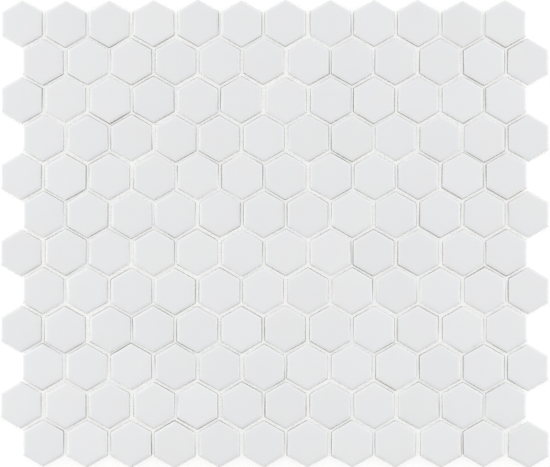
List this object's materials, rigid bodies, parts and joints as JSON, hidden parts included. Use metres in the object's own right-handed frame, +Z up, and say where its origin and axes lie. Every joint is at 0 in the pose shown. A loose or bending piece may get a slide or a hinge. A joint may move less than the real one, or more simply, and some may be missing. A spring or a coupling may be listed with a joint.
{
  "type": "hexagon mosaic tile sheet",
  "caption": "Ungrouted sheet of white porcelain hexagon mosaic: staggered rows of soft-edged tiles, held at an even joint by a glass-fibre net glued to their backs.",
  "frame": {"origin": "centre of the sheet on the plane that the net lies on, under the tiles", "axes": "+X along the rows, to the right in the picture; +Y from row 12 to row 1, up in the picture; +Z up, out of the face"},
  "size_m": [0.301, 0.2566, 0.0055],
  "materials": {
    "porcelain": "smooth satin white face with a soft rim, bare fired sides and back",
    "net_fibre": "resin-coated white glass-fibre yarn"
  },
  "bodies": {
    "root": {"tile_row_01": "porcelain", "tile_row_02": "porcelain", "tile_row_03": "porcelain", "tile_row_04": "porcelain", "tile_row_05": "porcelain", "tile_row_06": "porcelain", "tile_row_07": "porcelain", "tile_row_08": "porcelain", "tile_row_09": "porcelain", "tile_row_10": "porcelain", "tile_row_11": "porcelain", "tile_row_12": "porcelain", "net_weft": "net_fibre", "net_warp": "net_fibre"}
  },
  "joints": []
}
